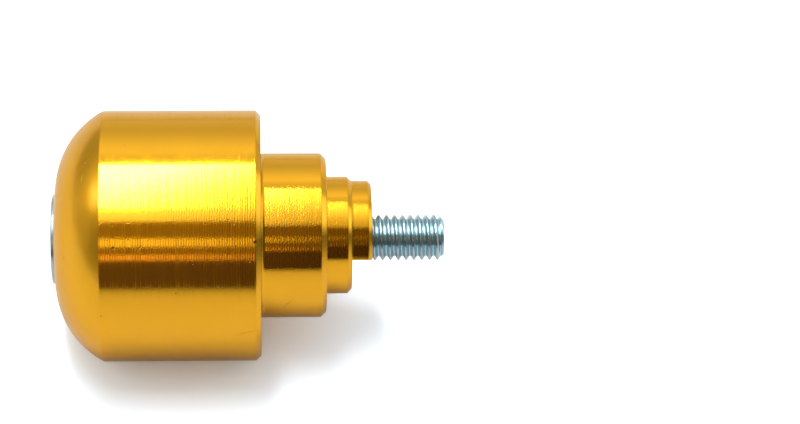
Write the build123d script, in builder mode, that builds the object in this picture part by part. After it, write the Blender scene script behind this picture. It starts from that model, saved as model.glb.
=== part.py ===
from build123d import *
import os
from math import cos, radians, sin, sqrt, tan

# A bar end weight for a motorcycle handlebar, in millimetres.
# The weight is one turned piece of anodised aluminium. A domed nose and a plain barrel stay
# outside the bar. Behind them a collar, about as wide as the bar, meets the end of it, and a
# stepped spigot enters it. A long countersunk screw passes through the middle into the bar.
# +X is the turning axis, from the nose into the bar. +Z is up, with the barrel lying on a floor.
# The origin is on the axis, in the end face of the collar, which is the shoulder for the bar.

# Weight, lengths along the axis
nose_height = 6.1
barrel_length = 20.0
collar_length = 8.25
register_length = 3.25
key_length = 2.5

# Weight, sizes across the axis
barrel_diameter = 32.0
collar_diameter = 21.0
register_diameter = 15.0
nose_radius = 11.5

# Turned edges of the weight
barrel_chamfer = 0.65
collar_chamfer = 0.7
register_lead = 0.55
key_chamfer = 0.45
key_root_radius = 0.4
bore_break = 0.3

# Flat milled on the key: its height above the axis, and its turn from straight down
key_flat_height = 3.2
key_turn = 47.0

# Screw hole, with its countersink in the nose
bore_diameter = 7.0
sink_diameter = 13.7
sink_angle = 90.0
sink_break = 0.12

# Screw
screw_length = 49.9
screw_diameter = 5.86
screw_tip_diameter = 4.5
head_diameter = 11.4
head_sharp_diameter = 13.44
head_edge_radius = 0.15
socket_across_flats = 4.0
socket_depth = 2.5
socket_point_angle = 120.0
socket_lead = 0.15
socket_turn = 12.0

# Gap left where the loose screw lies on the wall of its hole
rest_gap = 0.02

# Places along the axis, counted from the shoulder
collar_x = -collar_length
corner_x = collar_x - barrel_length
nose_x = corner_x - nose_height
key_x = register_length
end_x = key_x + key_length

# Radii that the parts share
barrel_radius = barrel_diameter / 2
collar_radius = collar_diameter / 2
register_radius = register_diameter / 2
key_radius = register_radius - register_lead
bore_radius = bore_diameter / 2
sink_radius = sink_diameter / 2
screw_radius = screw_diameter / 2
head_radius = head_diameter / 2
sharp_radius = head_sharp_diameter / 2
tip_radius = screw_tip_diameter / 2

# The nose is an arc that leaves the front plane square to the axis and meets the barrel at a
# crisp corner. This is the radius at which it leaves the front plane.
nose_flat_radius = barrel_radius - sqrt(nose_height * (2 * nose_radius - nose_height))

# The screw is thinner than its hole and isn't tightened, so it drops onto the wall below it.
# The cone of its head then rides up the countersink, and the head stands proud of the nose.
sink_slope = tan(radians(sink_angle / 2))
sink_end_x = nose_x + (sink_radius - bore_radius) / sink_slope
screw_drop = bore_radius - screw_radius - rest_gap
head_x = nose_x + (sink_radius - sharp_radius - screw_drop - rest_gap) / sink_slope
land_end_x = head_x + (sharp_radius - head_radius) / sink_slope
head_end_x = head_x + (sharp_radius - screw_radius) / sink_slope
tip_x = head_x + screw_length


def corner(x, radius):
    """The corner of the half section in work nearest to a place along and off its axis."""
    return vertices().sort_by_distance((x, radius, 0))[0]


# Weight: half of its section, with the countersunk hole cut out and the edges broken, is turned
# about the axis. The flat is then milled on the key.
with BuildPart() as weight:
    with BuildSketch(Plane.XY):
        with BuildLine():
            front = Line((nose_x, 0), (nose_x, nose_flat_radius))
            dome = TangentArc(front @ 1, (corner_x, barrel_radius), tangent=front % 1)
            Polyline(
                dome @ 1,
                (collar_x, barrel_radius),
                (collar_x, collar_radius),
                (0, collar_radius),
                (0, register_radius),
                (key_x - register_lead, register_radius),
                (key_x, key_radius),
                (end_x, key_radius),
                (end_x, 0),
                front @ 0,
            )
        make_face()
        with BuildLine():
            Polyline(
                (nose_x, 0),
                (nose_x, sink_radius),
                (sink_end_x, bore_radius),
                (end_x, bore_radius),
                (end_x, 0),
                close=True,
            )
        make_face(mode=Mode.SUBTRACT)
        chamfer(corner(collar_x, barrel_radius), length=barrel_chamfer)
        chamfer(corner(0, collar_radius), length=collar_chamfer)
        chamfer(corner(end_x, key_radius), length=key_chamfer)
        fillet(corner(key_x, key_radius), radius=key_root_radius)
        chamfer(corner(end_x, bore_radius), length=bore_break)
        chamfer(corner(nose_x, sink_radius), length=sink_break)
    revolve(axis=Axis.X)

    down = radians(key_turn)
    key_plane = Plane(origin=(key_x, 0, 0), x_dir=(0, cos(down), -sin(down)), z_dir=(1, 0, 0))
    with BuildSketch(key_plane):
        with Locations((0, -key_flat_height)):
            Rectangle(2 * key_radius, key_radius, align=(Align.CENTER, Align.MAX))
    extrude(amount=key_length, mode=Mode.SUBTRACT)

weight.part.label = "weight"

# Screw: turned to its own half section, on its own axis below that of the weight, with a
# hexagon socket in its head. Its thread is left as the plain cylinder round its crests.
screw_axis = Axis((0, 0, -screw_drop), (1, 0, 0))
socket_rim_radius = socket_across_flats / sqrt(3) + socket_lead
socket_end_x = head_x + socket_depth
socket_point_length = socket_across_flats / 2 / tan(radians(socket_point_angle / 2))

with BuildPart() as screw:
    with BuildSketch(Plane.XY.offset(-screw_drop)):
        with BuildLine():
            Polyline(
                (head_x, 0),
                (head_x, head_radius),
                (land_end_x, head_radius),
                (head_end_x, screw_radius),
                (tip_x, screw_radius),
                (tip_x, 0),
                close=True,
            )
        make_face()
        fillet(corner(head_x, head_radius), radius=head_edge_radius)
        chamfer(corner(tip_x, screw_radius), length=screw_radius - tip_radius)
    revolve(axis=screw_axis)

    head_plane = Plane(origin=(head_x, 0, -screw_drop), x_dir=(0, 1, 0), z_dir=(-1, 0, 0))
    with BuildSketch(head_plane):
        RegularPolygon(socket_across_flats / 2, 6, major_radius=False, rotation=socket_turn)
    extrude(amount=-socket_depth, mode=Mode.SUBTRACT)

    with BuildSketch(Plane.XY.offset(-screw_drop)):
        with BuildLine():
            Polyline(
                (head_x, 0),
                (head_x, socket_rim_radius),
                (head_x + socket_rim_radius, 0),
                close=True,
            )
        make_face()
        with BuildLine():
            Polyline(
                (socket_end_x, 0),
                (socket_end_x, socket_across_flats / 2),
                (socket_end_x + socket_point_length, 0),
                close=True,
            )
        make_face()
    revolve(axis=screw_axis, mode=Mode.SUBTRACT)

screw.part.label = "screw"

os.makedirs("parts", exist_ok=True)
export_step(weight.part, "parts/weight.step")
export_step(screw.part, "parts/screw.step")
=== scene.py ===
from math import cos, pi, radians, sin, tan

import bmesh
import bpy
import numpy as np
from mathutils import Matrix, Vector


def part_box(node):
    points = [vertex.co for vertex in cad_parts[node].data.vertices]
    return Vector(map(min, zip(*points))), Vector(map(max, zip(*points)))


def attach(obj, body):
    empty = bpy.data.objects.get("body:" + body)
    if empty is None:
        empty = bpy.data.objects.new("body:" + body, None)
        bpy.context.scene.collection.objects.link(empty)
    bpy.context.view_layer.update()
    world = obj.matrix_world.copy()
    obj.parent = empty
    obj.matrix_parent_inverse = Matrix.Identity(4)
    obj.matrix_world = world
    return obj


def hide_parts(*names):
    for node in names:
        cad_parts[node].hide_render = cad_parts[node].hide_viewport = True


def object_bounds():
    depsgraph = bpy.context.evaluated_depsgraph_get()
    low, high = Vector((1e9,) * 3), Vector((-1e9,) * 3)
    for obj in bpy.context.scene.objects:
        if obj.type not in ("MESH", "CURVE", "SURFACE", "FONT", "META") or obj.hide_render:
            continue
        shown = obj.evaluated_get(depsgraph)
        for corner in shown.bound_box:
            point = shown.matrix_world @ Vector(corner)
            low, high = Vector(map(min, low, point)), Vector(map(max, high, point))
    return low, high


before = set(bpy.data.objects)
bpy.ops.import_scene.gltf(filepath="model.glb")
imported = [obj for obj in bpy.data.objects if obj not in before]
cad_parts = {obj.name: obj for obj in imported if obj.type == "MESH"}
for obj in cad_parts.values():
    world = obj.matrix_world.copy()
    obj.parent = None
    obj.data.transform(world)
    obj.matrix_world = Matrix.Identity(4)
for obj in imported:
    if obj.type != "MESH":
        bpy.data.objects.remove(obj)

cad_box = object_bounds()

# The weight, turned from one bar of aluminium and anodised gold. Its solid comes from the frame
# as it is and gets its finish here: the fine rings that the turning tool left, under a clear
# sealed oxide, with the small nicks and scratches of a part that has been handled.

MM = 0.001


def linear(hex_colour):
    """An sRGB colour such as #e5a728 as linear red, green and blue, with alpha 1."""
    parts = [int(hex_colour[i:i + 2], 16) / 255 for i in (1, 3, 5)]
    return [p / 12.92 if p <= 0.04045 else ((p + 0.055) / 1.055) ** 2.4 for p in parts] + [1.0]


def node(tree, kind, inputs=None, **settings):
    """Adds one node. Each of its inputs gets a value, or a link from another node's output."""
    added = tree.nodes.new("ShaderNode" + kind)
    for name, value in settings.items():
        setattr(added, name, value)
    for name, value in (inputs or {}).items():
        if isinstance(value, bpy.types.NodeSocket):
            tree.links.new(value, added.inputs[name])
        else:
            added.inputs[name].default_value = value
    return added


def empty_material(name):
    """A new material with no nodes in its tree but the output."""
    material = bpy.data.materials.new(name)
    material.use_nodes = True
    material.node_tree.nodes.clear()
    return material, material.node_tree, node(material.node_tree, "OutputMaterial")


# Gold anodised aluminium: the dye sits in the oxide, so the metal's own reflection is gold and
# stays warm at grazing angles, and the clear skin over it adds a faint white one. The barrel was
# turned with a fine even feed and left bright. The nose is more matt, and the spigot is bright but
# grainy. The grain of the etched metal is finer on the real one, and is drawn 0.2 mm wide so that
# it shows.
gold_colour = linear("#e0a10e")
gold_pale = linear("#e5a711")
grazing_tint = linear("#e1d6bc")
barrel_roughness = 0.12
nose_roughness = 0.27
spigot_roughness = 0.07
oxide_ior = 1.6
oxide_weight = 0.28
oxide_roughness = 0.08
ring_spacing = 0.312 * MM
ring_reach = 1.2 * ring_spacing
ring_height = 0.0022 * MM
ring_dulling = 2.8
feed_share = 0.2
rings_on_spigot = 0.55
grain_width = 0.2 * MM
grain_height = 0.0045 * MM
grain_on_spigot = 1.5
edge_softness = 0.25 * MM
corner_round = 0.5 * MM
finish_change = 0.05 * MM
dye_patch = 5 * MM

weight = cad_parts["weight"]
weight_low, weight_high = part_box("weight")
barrel_radius = (weight_high.z - weight_low.z) / 2
collar_length = 8.25 * MM
barrel_length = 20 * MM
collar_x = -collar_length
corner_x = collar_x - barrel_length

# Marks of handling, each an oval with its place along the axis in mm, its angle above the front
# in degrees, its length and width in mm, and its tilt in degrees. Bare ones are scraped through
# the gold to pale torn metal, and one of them is the lit edge of a scratch, a painted highlight.
# Dark ones are pits and scratches, pressed in, whose shade is painted into their colour as a dark
# brown. A mark is full up to mark_middle times its half size, and gone at mark_rim times it.
bare_and_glint_colour = linear("#e2b550")
pit_shade_colour = linear("#4a2c08")
torn_roughness = 0.42
pit_depth = 0.02 * MM
mark_middle, mark_rim = 0.6, 1.3
# Bare marks: pale scraped metal. The one at -23.12 mm is a painted highlight on the lit edge of a
# scratch.
bare_and_glint_marks = [
    (-28.0, 52.4, 0.40, 0.08, 30), (-26.5, 51.2, 0.14, 0.11, 0), (-24.55, 52.6, 0.55, 0.08, 5),
    (-27.7, 46.2, 0.16, 0.12, 0), (-27.2, 45.7, 0.25, 0.06, -20), (-12.25, 59.0, 0.34, 0.12, 60),
    (-11.5, 51.9, 0.45, 0.04, 45), (-9.65, 35.1, 0.20, 0.16, 0), (-16.65, 34.2, 0.11, 0.09, 0),
    (-13.6, 23.6, 0.11, 0.09, 0), (-22.5, 57.4, 0.13, 0.09, 0), (-23.12, 41.4, 0.70, 0.06, 46),
    (-26.28, 41.1, 0.20, 0.09, 40), (-30.4, 76.6, 0.90, 0.05, 82), (-30.0, 84.6, 0.14, 0.09, 0),
    (-30.3, 83.0, 0.10, 0.08, 0),
]
# Dark marks: pits and scratches, pressed in and rough, with their shade painted into their colour.
pit_and_shade_marks = [
    (-26.45, 41.8, 0.30, 0.22, 30), (-23.22, 41.9, 0.80, 0.08, 46), (-9.0, 43.9, 0.36, 0.30, 40),
    (-12.3, 53.9, 0.30, 0.12, -30), (-10.3, 36.2, 0.20, 0.16, 0), (-18.8, 20.6, 0.17, 0.15, 0),
    (-28.12, 8.8, 0.18, 0.15, 0), (-25.1, 91.8, 0.16, 0.14, 0), (-32.75, 33.6, 0.55, 0.06, -78),
    (-10.3, -2.4, 2.60, 0.04, 20), (-5.0, -8.6, 3.40, 0.05, 64), (-18.0, 119.5, 1.80, 0.05, 14),
]

gold, tree, output = empty_material("gold_anodised_aluminium")
place = node(tree, "TexCoord").outputs["Object"]
apart = node(tree, "SeparateXYZ", {0: place})
along = apart.outputs["X"]
across = node(tree, "CombineXYZ", {"Y": apart.outputs["Y"], "Z": apart.outputs["Z"]})
radius = node(tree, "VectorMath", {0: across.outputs[0]}, operation="LENGTH").outputs["Value"]
turn = node(tree, "VectorMath", {0: across.outputs[0]}, operation="NORMALIZE").outputs["Vector"]
turned = node(tree, "SeparateXYZ", {0: turn})

# The feed of the tool is a sine wave along the profile, x plus radius. The unevenness of the cut
# is a noise in x, radius and the direction round the axis, which moves it only round a circle of
# ring_reach, so that each ring changes slowly on its way round. Together they tilt the surface a
# little and make one ring duller than the next.
profile = node(tree, "Math", {0: along, 1: radius}, operation="ADD")
feed_angle = node(tree, "Math", {
    0: profile.outputs[0], 1: 2 * pi / ring_spacing,
}, operation="MULTIPLY")
feed = node(tree, "Math", {0: feed_angle.outputs[0]}, operation="SINE")
uneven_place = node(tree, "CombineXYZ", {
    "X": along,
    "Y": radius,
    "Z": node(tree, "Math", {0: turned.outputs["Y"], 1: ring_reach}, operation="MULTIPLY").outputs[0],
})
uneven = node(tree, "TexNoise", {
    "Vector": uneven_place.outputs[0],
    "W": node(tree, "Math", {0: turned.outputs["Z"], 1: ring_reach}, operation="MULTIPLY").outputs[0],
    "Scale": 1 / ring_spacing,
    "Detail": 2.0,
    "Roughness": 0.6,
}, noise_dimensions="4D")
grain = node(tree, "TexNoise", {"Vector": place, "Scale": 1 / grain_width, "Detail": 2.0})
on_nose = node(tree, "MapRange", {
    "Value": along, "From Min": corner_x + finish_change, "From Max": corner_x - finish_change,
}).outputs[0]
on_spigot = node(tree, "MapRange", {
    "Value": along, "From Min": collar_x - finish_change, "From Max": collar_x + finish_change,
}).outputs[0]
off_nose = node(tree, "Math", {0: 1.0, 1: on_nose}, operation="SUBTRACT")
ring_strength = node(tree, "Math", {
    0: on_spigot, 1: rings_on_spigot - 1, 2: off_nose.outputs[0],
}, operation="MULTIPLY_ADD")
cut = node(tree, "Math", {
    0: feed.outputs[0], 1: feed_share, 2: uneven.outputs["Fac"],
}, operation="MULTIPLY_ADD")
# The noise lies about a half, which is taken off so that the rings lie about nothing.
middle_cut = node(tree, "Math", {0: cut.outputs[0], 1: 0.5}, operation="SUBTRACT")
rings = node(tree, "Math", {
    0: middle_cut.outputs[0], 1: ring_strength.outputs[0],
}, operation="MULTIPLY").outputs[0]

# Every edge is a little soft. The corner between collar and barrel is sharp in the solid, and the
# tool's tip leaves a quarter round there, 1 - sqrt(1 - u^2) high, where u goes from 0 at its start
# to 1 at the barrel.
soft_edges = node(tree, "Bevel", {"Radius": edge_softness}, samples=4)
into_corner = node(tree, "MapRange", {
    "Value": along, "From Min": collar_x + corner_round, "From Max": collar_x,
})
squared = node(tree, "Math", {0: into_corner.outputs[0], 1: 2.0}, operation="POWER")
left_over = node(tree, "Math", {0: 1.0, 1: squared.outputs[0]}, operation="SUBTRACT")
corner_depth = node(tree, "Math", {0: left_over.outputs[0]}, operation="SQRT")
corner_rise = node(tree, "Math", {0: 1.0, 1: corner_depth.outputs[0]}, operation="SUBTRACT")
corner_bump = node(tree, "Bump", {
    "Strength": 1.0, "Distance": corner_round, "Height": corner_rise.outputs[0],
    "Normal": soft_edges.outputs[0],
})
ring_bump = node(tree, "Bump", {
    "Strength": 1.0, "Distance": ring_height, "Height": rings, "Normal": corner_bump.outputs[0],
})
grain_strength = node(tree, "Math", {
    0: on_spigot, 1: grain_on_spigot - 1, 2: 1.0,
}, operation="MULTIPLY_ADD")
grained = node(tree, "Math", {
    0: grain.outputs["Fac"], 1: grain_strength.outputs[0],
}, operation="MULTIPLY")
grain_bump = node(tree, "Bump", {
    "Strength": 1.0, "Distance": grain_height, "Height": grained.outputs[0],
    "Normal": ring_bump.outputs[0],
})

# Unrolled, the surface is x by the angle above the front times the barrel's radius.
frontward = node(tree, "Math", {0: apart.outputs["Y"], 1: -1.0}, operation="MULTIPLY")
above = node(tree, "Math", {
    0: apart.outputs["Z"], 1: frontward.outputs[0],
}, operation="ARCTAN2")
round_barrel = node(tree, "Math", {
    0: above.outputs[0], 1: barrel_radius,
}, operation="MULTIPLY")
unrolled = node(tree, "CombineXYZ", {"X": along, "Y": round_barrel.outputs[0]})


def mark_mask(marks):
    """The largest of the marks' own masks. Each goes from 1 inside to 0 outside with the distance
    from the mark's centre, counted in half its length along it and half its width across."""
    mask = 0.0
    for x, angle, length, width, tilt in marks:
        inside = node(tree, "Mapping", {
            "Vector": unrolled.outputs[0],
            "Location": (x * MM, radians(angle) * barrel_radius, 0),
            "Rotation": (0, 0, radians(tilt)),
            "Scale": (length / 2 * MM, width / 2 * MM, 1),
        }, vector_type="TEXTURE")
        off = node(tree, "VectorMath", {0: inside.outputs[0]}, operation="LENGTH")
        oval = node(tree, "MapRange", {
            "Value": off.outputs["Value"], "From Min": mark_rim, "From Max": mark_middle,
        })
        mask = node(tree, "Math", {0: oval.outputs[0], 1: mask}, operation="MAXIMUM").outputs[0]
    return mask


bare_and_glint, dark = mark_mask(bare_and_glint_marks), mark_mask(pit_and_shade_marks)
torn = node(tree, "Math", {0: bare_and_glint, 1: dark}, operation="MAXIMUM").outputs[0]
torn_bump = node(tree, "Bump", {
    "Strength": 1.0, "Distance": pit_depth, "Height": dark, "Normal": grain_bump.outputs[0],
}, invert=True)

dye = node(tree, "TexNoise", {"Vector": place, "Scale": 1 / dye_patch, "Detail": 2.0})
dyed = node(tree, "Mix", {
    "Factor": dye.outputs["Fac"], "A": gold_colour, "B": gold_pale,
}, data_type="RGBA")
# The bare marks are paler metal, and one of them is a painted highlight on a scratch's edge.
scraped_and_glint = node(tree, "Mix", {
    "Factor": bare_and_glint, "A": dyed.outputs["Result"], "B": bare_and_glint_colour,
}, data_type="RGBA")
# Painted shade: the dark marks take the dark brown of a shaded pit or scratch.
pit_shaded = node(tree, "Mix", {
    "Factor": dark, "A": scraped_and_glint.outputs["Result"], "B": pit_shade_colour,
}, data_type="RGBA")

nose_dulled = node(tree, "Math", {
    0: on_nose, 1: nose_roughness - barrel_roughness, 2: barrel_roughness,
}, operation="MULTIPLY_ADD")
turned_roughness = node(tree, "Math", {
    0: on_spigot, 1: spigot_roughness - barrel_roughness, 2: nose_dulled.outputs[0],
}, operation="MULTIPLY_ADD")
dulled = node(tree, "Math", {0: rings, 1: ring_dulling, 2: 1.0}, operation="MULTIPLY_ADD")
cut_roughness = node(tree, "Math", {
    0: turned_roughness.outputs[0], 1: dulled.outputs[0],
}, operation="MULTIPLY")
roughness = node(tree, "Mix", {
    "Factor": torn, "A": cut_roughness.outputs[0], "B": torn_roughness,
}, data_type="FLOAT")
shader = node(tree, "BsdfPrincipled", {
    "Base Color": pit_shaded.outputs["Result"],
    "Metallic": 1.0,
    "Roughness": roughness.outputs["Result"],
    "Specular Tint": grazing_tint,
    "Coat Weight": oxide_weight,
    "Coat Roughness": oxide_roughness,
    "Coat IOR": oxide_ior,
    "Normal": torn_bump.outputs[0],
    "Coat Normal": grain_bump.outputs[0],
})
tree.links.new(shader.outputs[0], output.inputs["Surface"])

for slot in weight.material_slots:
    slot.material = gold


# The screw, a countersunk socket screw M6 by 50 in zinc-plated steel, lying loose in its hole.
# Its thread is rolled for 24 mm from the tip, right hand, and the shank behind it is plain.

screw_low, screw_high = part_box("screw")
head_x, tip_x = screw_low.x, screw_high.x
axis_y, axis_z = (screw_low.y + screw_high.y) / 2, (screw_low.z + screw_high.z) / 2
head_radius = (screw_high.z - screw_low.z) / 2

pitch = 1.0 * MM
thread_length = 24 * MM
crest_radius = 2.93 * MM
pitch_radius = 2.675 * MM
root_radius = 2.387 * MM
tip_radius = 2.25 * MM
sharp_radius = 6.72 * MM
head_edge_radius = 0.15 * MM
socket_half_flats = 2.0 * MM
socket_depth = 2.5 * MM
socket_rim_radius = 2.459 * MM
socket_turn = radians(12)
thread_phase = 0.68
crest_round = 0.03 * MM
root_round = 0.09 * MM
run_out = 1.5 * pitch
columns = 120
merge_distance = 0.0005 * MM
collapse_distance = 0.0001 * MM
crease_angle = radians(32)


def thread_radius(phase):
    """Radius at a phase of the pitch, 0 at a crest. The flank, at 30 degrees, passes the pitch
    radius a quarter of a pitch from the crest. With s(a) = (a + sqrt(a^2 + round^2)) / 2 it is
    held down to crest - s(crest - flank), and that is held up to root + s(that - root)."""
    off = np.abs(phase - np.round(phase))
    flank = pitch_radius + (0.25 - off) * pitch / tan(radians(30))
    low = crest_radius - flank
    top = crest_radius - (low + np.sqrt(low**2 + crest_round**2)) / 2
    high = top - root_radius
    return root_radius + (high + np.sqrt(high**2 + root_round**2)) / 2


def screw_surface():
    """Rows of points round the screw's axis, from the middle of the tip to that of the socket.
    In the thread each row follows the helix, x = start + pitch * (turn + angle / 2 pi), held
    between the ends of the thread, so that crests and roots are clean lines of the mesh. The
    thread fades out over run_out at its inner end. The socket's radius is half its flats over the
    cosine of the angle from the middle of the nearest flat."""
    angle = np.arange(columns) * 2 * pi / columns
    flat = np.ones(columns)
    # Phases of the rows in one pitch, closest where the profile bends
    steps = np.array([-0.5, -0.44, -0.39, -0.34, -0.14, -0.115, -0.09, -0.05, 0.05, 0.09, 0.115, 0.14,
                      0.34, 0.39, 0.44])
    turns = np.arange(int(thread_length / pitch) + 2)
    phases = (turns[:, None] + steps).ravel()[::-1]
    start_x = tip_x - thread_length
    first_x = np.floor(start_x / pitch - 1) * pitch + thread_phase * pitch
    helix_x = first_x + pitch * (phases[:, None] + angle / (2 * pi))
    cut = thread_radius(phases)[:, None] * flat
    depth_share = np.clip((helix_x - start_x) / run_out, 0, 1)
    cut = crest_radius - (crest_radius - cut) * depth_share
    helix_x = np.clip(helix_x, start_x, tip_x)
    helix_r = np.minimum(cut, tip_radius + (tip_x - helix_x))
    corner = np.abs(((angle - socket_turn + pi / 6) % (pi / 3)) - pi / 6)
    hexagon = socket_half_flats / np.cos(pi / 6 - corner)
    edge = np.radians([0, 30, 60, 90])
    rows_x = [tip_x * flat, *helix_x]
    rows_r = [0 * flat, *helix_r]

    def row(x, r):
        rows_x.append(x * flat)
        rows_r.append(r * flat)

    row(head_x + sharp_radius - crest_radius, crest_radius)
    row(head_x + sharp_radius - head_radius, head_radius)
    for a in edge:
        row(head_x + head_edge_radius * (1 - sin(a)), head_radius - head_edge_radius * (1 - cos(a)))
    row(head_x, socket_rim_radius)
    row(head_x + socket_rim_radius - hexagon, hexagon)
    row(head_x + socket_depth, hexagon)
    row(head_x + socket_depth, socket_half_flats)
    row(head_x + socket_depth + socket_half_flats / tan(radians(60)), 0)
    x, r = np.array(rows_x), np.array(rows_r)
    points = np.stack([x, axis_y + r * np.cos(angle), axis_z + r * np.sin(angle)], axis=-1)
    return points.reshape(-1, 3), len(rows_x)


def closed_mesh(name, points, rows):
    """A mesh of quads between neighbouring rows, closed round the axis. Points that fall on one
    another, as at the two poles and at the ends of the thread, are merged."""
    i = np.arange(rows - 1)[:, None] * columns
    j = np.arange(columns)
    k = (j + 1) % columns
    quads = np.stack([i + j, i + k, i + columns + k, i + columns + j], axis=-1).reshape(-1, 4)
    mesh = bpy.data.meshes.new(name)
    mesh.from_pydata(points.tolist(), [], quads.tolist())
    work = bmesh.new()
    work.from_mesh(mesh)
    bmesh.ops.remove_doubles(work, verts=work.verts, dist=merge_distance)
    bmesh.ops.dissolve_degenerate(work, edges=work.edges, dist=collapse_distance)
    bmesh.ops.recalc_face_normals(work, faces=work.faces)
    work.to_mesh(mesh)
    work.free()
    mesh.shade_smooth()
    mesh.set_sharp_from_angle(angle=crease_angle)
    return mesh


screw_mesh = closed_mesh("machine_screw", *screw_surface())
screw = bpy.data.objects.new("machine_screw", screw_mesh)
bpy.context.scene.collection.objects.link(screw)

# Zinc plate on steel, with a thin pale blue passivation. Its grains give it a fine sparkle. They
# are finer on the real one, and are drawn 0.1 mm wide so that they show. The crests are rubbed,
# and browner in specks.
zinc_colour = linear("#a6c4ce")
crest_colour = linear("#a39c94")
zinc_roughness = 0.26
zinc_grain = 0.10 * MM
zinc_grain_height = 0.003 * MM
rub_start, rub_full = 0.12 * MM, 0.02 * MM
rub_share = 0.8
speck_low, speck_high = 0.35, 0.6

zinc, tree, output = empty_material("blue_zinc_plated_steel")
place = node(tree, "TexCoord").outputs["Object"]
apart = node(tree, "SeparateXYZ", {0: place})
across = node(tree, "CombineXYZ", {
    "Y": node(tree, "Math", {0: apart.outputs["Y"], 1: axis_y}, operation="SUBTRACT").outputs[0],
    "Z": node(tree, "Math", {0: apart.outputs["Z"], 1: axis_z}, operation="SUBTRACT").outputs[0],
})
radius = node(tree, "VectorMath", {0: across.outputs[0]}, operation="LENGTH").outputs["Value"]
plate = node(tree, "TexNoise", {"Vector": place, "Scale": 1 / zinc_grain, "Detail": 3.0})
rubbed = node(tree, "MapRange", {
    "Value": radius, "From Min": crest_radius - rub_start, "From Max": crest_radius - rub_full,
    "To Max": rub_share,
})
speckled = node(tree, "MapRange", {
    "Value": plate.outputs["Fac"], "From Min": speck_low, "From Max": speck_high,
})
worn = node(tree, "Math", {0: rubbed.outputs[0], 1: speckled.outputs[0]}, operation="MULTIPLY")
colour = node(tree, "Mix", {
    "Factor": worn.outputs[0], "A": zinc_colour, "B": crest_colour,
}, data_type="RGBA")
plate_bump = node(tree, "Bump", {
    "Strength": 1.0, "Distance": zinc_grain_height, "Height": plate.outputs["Fac"],
})
shader = node(tree, "BsdfPrincipled", {
    "Base Color": colour.outputs["Result"],
    "Metallic": 1.0,
    "Roughness": zinc_roughness,
    "Normal": plate_bump.outputs[0],
})
tree.links.new(shader.outputs[0], output.inputs["Surface"])
screw_mesh.materials.append(zinc)
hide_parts("screw")
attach(screw, "root")


# The studio floor, a plain pale sheet that the barrel lies on. It is a little overexposed, as in
# a product photograph, and keeps the soft shadow of the weight.

floor_z = cad_box[0].z
floor_half = 1.5

floor_mesh = bpy.data.meshes.new("studio_floor")
corners = np.array([[-1, -1, 0], [1, -1, 0], [1, 1, 0], [-1, 1, 0]]) * floor_half
floor_mesh.from_pydata((corners + [0, 0, floor_z]).tolist(), [], [(0, 1, 2, 3)])
floor = bpy.data.objects.new("studio_floor", floor_mesh)
bpy.context.scene.collection.objects.link(floor)

# Matt white paper. To the camera it is a clear white, and metal shows it pale near the object and
# duller to the front and the right, where the light falls away: paper_to_metal over one plus a
# power of the weighted distance, but never less than paper_far.
paper_diffuse = 0.62
paper_to_camera = [1.36 * part for part in linear("#ebf5ff")]
paper_to_metal = 0.67
paper_far = 0.2
paper_fade = 0.42
paper_fade_power = 1.2
paper_fade_x = 0.03
paper_fade_right = 5.0
paper_fade_front, paper_fade_back = -0.02, 0.10

paper, tree, output = empty_material("white_paper")
path = node(tree, "LightPath")
place = node(tree, "TexCoord").outputs["Object"]
apart = node(tree, "SeparateXYZ", {0: place})
to_right = node(tree, "Math", {0: apart.outputs["X"], 1: paper_fade_x}, operation="SUBTRACT")
past_right = node(tree, "Math", {0: to_right.outputs[0], 1: 0.0}, operation="MAXIMUM")
weighted_right = node(tree, "Math", {
    0: past_right.outputs[0], 1: paper_fade_right,
}, operation="MULTIPLY")
past_front = node(tree, "Math", {0: apart.outputs["Y"], 1: 0.0}, operation="MINIMUM")
off = node(tree, "CombineXYZ", {"X": weighted_right.outputs[0], "Y": past_front.outputs[0]})
distance = node(tree, "VectorMath", {0: off.outputs[0]}, operation="LENGTH").outputs["Value"]
in_front = node(tree, "MapRange", {
    "Value": apart.outputs["Y"], "From Min": paper_fade_back, "From Max": paper_fade_front,
    "To Max": 1 / paper_fade,
})
far = node(tree, "Math", {0: distance, 1: in_front.outputs[0]}, operation="MULTIPLY")
steep = node(tree, "Math", {0: far.outputs[0], 1: paper_fade_power}, operation="POWER")
fall = node(tree, "Math", {0: steep.outputs[0], 1: 1.0}, operation="ADD")
falling = node(tree, "Math", {0: paper_to_metal, 1: fall.outputs[0]}, operation="DIVIDE")
faded = node(tree, "Math", {0: falling.outputs[0], 1: paper_far}, operation="MAXIMUM")
mirrored = node(tree, "Math", {
    0: path.outputs["Is Glossy Ray"], 1: path.outputs["Is Transmission Ray"],
}, operation="MAXIMUM")
to_metal = node(tree, "Mix", {
    "Factor": mirrored.outputs[0], "A": paper_diffuse, "B": faded.outputs[0],
}, data_type="FLOAT")
to_eye = node(tree, "Mix", {
    "Factor": path.outputs["Is Camera Ray"], "A": to_metal.outputs["Result"], "B": paper_to_camera,
}, data_type="RGBA")
shader = node(tree, "BsdfDiffuse", {"Color": to_eye.outputs["Result"]})
tree.links.new(shader.outputs[0], output.inputs["Surface"])
floor_mesh.materials.append(paper)


# The studio: a large softbox overhead, brightest a little to the left and behind, and two narrow
# warm strips lower down in front of it. The walls behind and beside are pale, and the room behind
# the camera is dark.

softbox_height = 0.8
softbox_front = radians(59.7)
softbox_back = radians(65.5)
softbox_left = -1.2
softbox_right = 0.9
softbox_base = 0.05
core_lean = -0.065


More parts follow.
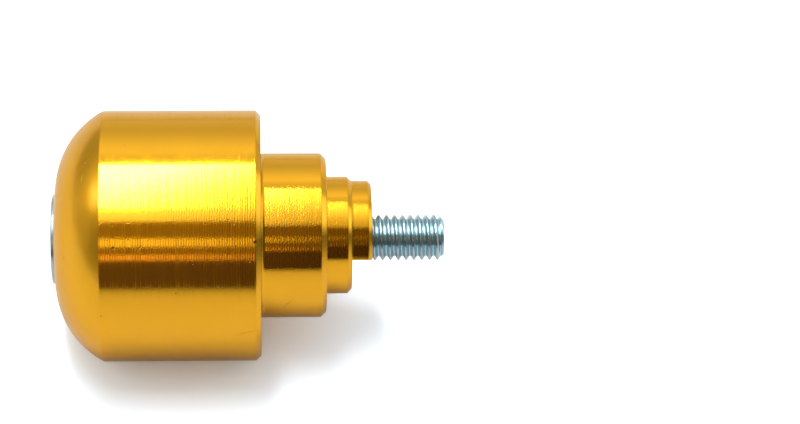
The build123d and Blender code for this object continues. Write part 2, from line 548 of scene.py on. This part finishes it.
def area_lamp(name, centre, aim, width, height, level, colour="#ffffff"):
    """A rectangular lamp with this radiance, facing the aim, its width level. Returns its node
    tree, emptied, and a vector in it that gives the place on the lamp in metres from its centre."""
    light = bpy.data.lights.new(name, "AREA")
    light.shape = "RECTANGLE"
    light.size, light.size_y = width, height
    light.energy = level * pi * width * height
    light.color = linear(colour)[:3]
    lamp = bpy.data.objects.new(name, light)
    bpy.context.scene.collection.objects.link(lamp)
    facing = (Vector(aim) - Vector(centre)).to_track_quat("-Z", "Y")
    lamp.matrix_world = Matrix.Translation(centre) @ facing.to_matrix().to_4x4()
    lamp.visible_camera = False
    light.use_nodes = True
    light.node_tree.nodes.clear()
    spot = node(light.node_tree, "Mapping", {
        "Vector": node(light.node_tree, "NewGeometry").outputs["Parametric"],
        "Scale": (width, height, 0),
        "Location": (-width / 2, -height / 2, 0),
    })
    return light.node_tree, spot.outputs[0]


def hot_spot(tree, spot, centre, spread):
    """exp(-d^2 / 2), d the distance from the centre in units of spread."""
    off = node(tree, "Mapping", {
        "Vector": spot, "Location": (*centre, 0), "Scale": (*spread, 1),
    }, vector_type="TEXTURE").outputs[0]
    square = node(tree, "VectorMath", {0: off, 1: off}, operation="DOT_PRODUCT")
    fall = node(tree, "Math", {0: square.outputs["Value"], 1: -0.5}, operation="MULTIPLY")
    return node(tree, "Math", {0: fall.outputs[0]}, operation="EXPONENT").outputs[0]


front_y, back_y = -softbox_height / tan(softbox_front), softbox_height / tan(softbox_back)
middle_x, middle_y = (softbox_left + softbox_right) / 2, (front_y + back_y) / 2
tree, spot = area_lamp(
    "overhead_softbox", (middle_x, middle_y, softbox_height), (middle_x, middle_y, 0),
    softbox_right - softbox_left, back_y - front_y, 1.0,
)
# Over an even base lie a dim glow at the left, one at the back, and a hot core with a crisp front,
# whose sides are lines of equal x + core_lean * y. The hot spots have their centre and spread in
# metres. An edge has the place in metres where its part is dark and the one where it is full.
over = node(tree, "VectorMath", {0: spot, 1: (middle_x, middle_y, 0)}, operation="ADD").outputs[0]
apart = node(tree, "SeparateXYZ", {0: over})
over_x, over_y = apart.outputs["X"], apart.outputs["Y"]
leaning_x = node(tree, "Math", {
    0: over_y, 1: core_lean, 2: over_x,
}, operation="MULTIPLY_ADD").outputs[0]
shares = {
    "left_glow": 1.0,
    "back_glow": hot_spot(tree, over, (-0.03, 0.2), (0.2, 0.2)),
    "core": hot_spot(tree, over, (0, 0.23), (10, 0.42)),
}
for part, value, dark_at, full_at in (
    ("left_glow", over_x, -0.30, -0.10),
    ("left_glow", over_x, 0.012, -0.045),
    ("core", leaning_x, -0.1667, -0.0967),
    ("core", leaning_x, -0.0257, -0.0617),
    ("core", over_y, -0.293, -0.243),
):
    edge = node(tree, "MapRange", {
        "Value": value, "From Min": dark_at, "From Max": full_at,
    }, interpolation_type="SMOOTHSTEP")
    shares[part] = node(tree, "Math", {
        0: shares[part], 1: edge.outputs[0],
    }, operation="MULTIPLY").outputs[0]
level = softbox_base
for part, strength in (("left_glow", 1.25), ("back_glow", 1.15), ("core", 30.5)):
    level = node(tree, "Math", {
        0: shares[part], 1: strength, 2: level,
    }, operation="MULTIPLY_ADD").outputs[0]
emission = node(tree, "Emission", {"Strength": level})
node(tree, "OutputLight", {"Surface": emission.outputs[0]})

# Each strip has the elevations of its lower and upper edge in degrees, its level and its colour.
# It is bright at the left and dim at the right.
strip_distance = 0.8
strip_width = 0.8
strip_bright_x, strip_dim_x = -0.035, 0.004
strip_dim = 0.03
for name, low, high, level, colour in (
    ("upper_strip", 37.3, 44.5, 1.25, "#fff3b1"),
    ("lower_strip", 25.0, 30.0, 1.05, "#ffd0a0"),
):
    middle = radians((low + high) / 2)
    tree, spot = area_lamp(
        name, (0, -strip_distance * cos(middle), strip_distance * sin(middle)), (0, 0, 0),
        strip_width, 2 * strip_distance * tan(radians(high - low) / 2), level, colour,
    )
    across_lamp = node(tree, "SeparateXYZ", {0: spot}).outputs["X"]
    dimmed = node(tree, "MapRange", {
        "Value": across_lamp, "From Min": strip_bright_x, "From Max": strip_dim_x,
        "To Min": 1.0, "To Max": strip_dim,
    }, interpolation_type="SMOOTHSTEP")
    emission = node(tree, "Emission", {"Strength": dimmed.outputs[0]})
    node(tree, "OutputLight", {"Surface": emission.outputs[0]})

# What metal shows of the walls, by how far a direction points to the front: -1 is straight back
# and 1 straight to the front, where the room is dark and warm. Everything but metal gets a plain
# even fill.
wall_level = 1.5
walls = [
    (-1.0, (0.90, 0.90, 0.93)), (-0.94, (0.78, 0.78, 0.76)), (-0.85, (0.95, 0.95, 0.91)),
    (-0.75, (1.17, 1.17, 1.11)), (-0.64, (1.30, 1.30, 1.22)), (-0.55, (1.02, 1.02, 0.96)),
    (0.40, (0.75, 0.72, 0.66)), (0.53, (0.36, 0.255, 0.13)), (0.80, (0.36, 0.255, 0.13)),
    (0.86, (0.30, 0.20, 0.10)), (0.92, (0.134, 0.09, 0.11)), (1.0, (0.134, 0.09, 0.11)),
]
# The camera and its stand hide the right half of that dark part of the room, and are darker still.
# They start at stand_left and stand_back, and are full at stand_right and stand_front.
stand_back, stand_front = -0.40, -0.53
stand_left, stand_right = -0.03, 0.04
stand_level = 0.35
# Patches of the room to the sides, each over the ones before: its turn to the right from straight
# back and its elevation, the angles within which it is full and beyond which it is gone, all in
# degrees, and its level.
patches = [
    (130, 25, 20, 42, 0.12), (-115, 6, 18, 36, 0.28), (-88, 8, 8, 22, 0.55), (-70, 12, 6, 16, 0.72),
    (-42, 10, 12, 30, 0.46), (-81, 32.5, 3, 11.5, 3.0), (52, 0, 24, 40, 0.76),
    (97, -4, 7, 15, 0.4), (73, 8, 5, 15, 1.75),
]
fill_level = 0.8

world = bpy.data.worlds.new("studio")
bpy.context.scene.world = world
world.use_nodes = True
tree = world.node_tree
tree.nodes.clear()
direction = node(tree, "TexCoord").outputs["Generated"]
way = node(tree, "SeparateXYZ", {0: direction})
forward = node(tree, "MapRange", {"Value": way.outputs["Y"], "From Min": 1.0, "From Max": -1.0})
ramp = node(tree, "ValToRGB", {"Fac": forward.outputs[0]})
# The ramp comes with two stops, which take the first two values.
for index, (toward, value) in enumerate(walls):
    stop = ramp.color_ramp.elements[index] if index < 2 else ramp.color_ramp.elements.new(1)
    stop.position = (toward + 1) / 2
    stop.color = (*(part / wall_level for part in value), 1)
in_front = node(tree, "MapRange", {
    "Value": way.outputs["Y"], "From Min": stand_back, "From Max": stand_front,
}, interpolation_type="SMOOTHSTEP")
to_right = node(tree, "MapRange", {
    "Value": way.outputs["X"], "From Min": stand_left, "From Max": stand_right,
}, interpolation_type="SMOOTHSTEP")
on_stand = node(tree, "Math", {
    0: in_front.outputs[0], 1: to_right.outputs[0],
}, operation="MULTIPLY")
darkened = node(tree, "Math", {
    0: on_stand.outputs[0], 1: stand_level - 1, 2: 1.0,
}, operation="MULTIPLY_ADD")
shade = node(tree, "VectorMath", {
    0: ramp.outputs[0], "Scale": darkened.outputs[0],
}, operation="SCALE").outputs[0]
for side, up, full, gone, value in patches:
    aside, high = radians(side), radians(up)
    centre = (sin(aside) * cos(high), cos(aside) * cos(high), sin(high))
    toward = node(tree, "VectorMath", {0: direction, 1: centre}, operation="DOT_PRODUCT")
    amount = node(tree, "MapRange", {
        "Value": toward.outputs["Value"], "From Min": cos(radians(gone)), "From Max": cos(radians(full)),
    }, interpolation_type="SMOOTHSTEP")
    shade = node(tree, "Mix", {
        "Factor": amount.outputs[0], "A": shade, "B": (*[value / wall_level] * 3, 1),
    }, data_type="RGBA").outputs["Result"]
room = node(tree, "Background", {"Color": shade, "Strength": wall_level})
fill = node(tree, "Background", {"Color": linear("#ffffff"), "Strength": fill_level})
white = node(tree, "Background", {"Color": linear("#ffffff")})
path = node(tree, "LightPath")
mirrored = node(tree, "Math", {
    0: path.outputs["Is Glossy Ray"], 1: path.outputs["Is Transmission Ray"],
}, operation="MAXIMUM")
to_metal = node(tree, "MixShader", {0: mirrored.outputs[0], 1: fill.outputs[0], 2: room.outputs[0]})
to_eye = node(tree, "MixShader", {
    0: path.outputs["Is Camera Ray"], 1: to_metal.outputs[0], 2: white.outputs[0],
})
node(tree, "OutputWorld", {"Surface": to_eye.outputs[0]})


# The camera, 0.43 m away with a long lens, looks down at 47 degrees from the side, with the nose to
# the left. Its place, lens and small turns were fitted to the outline of the weight.

camera_elevation = radians(47.0)
camera_yaw = radians(2.404)
camera_pitch = radians(0.384)
camera_roll = radians(0.303)
camera_place = Vector((-8.48, -292.41, 313.58)) * MM
camera_film = 36.0
camera_lens = 150.95

camera = bpy.data.objects.new("camera", bpy.data.cameras.new("camera"))
bpy.context.scene.collection.objects.link(camera)
camera.data.sensor_width = camera_film
camera.data.lens = camera_lens
camera.data.clip_start = 0.01
camera.matrix_world = (
    Matrix.Translation(camera_place)
    @ Matrix.Rotation(pi / 2 - camera_elevation, 4, "X")
    @ Matrix.Rotation(-camera_yaw, 4, "Y")
    @ Matrix.Rotation(camera_pitch, 4, "X")
    @ Matrix.Rotation(-camera_roll, 4, "Z")
)
bpy.context.scene.camera = camera
bpy.context.scene.view_settings.view_transform = "Standard"
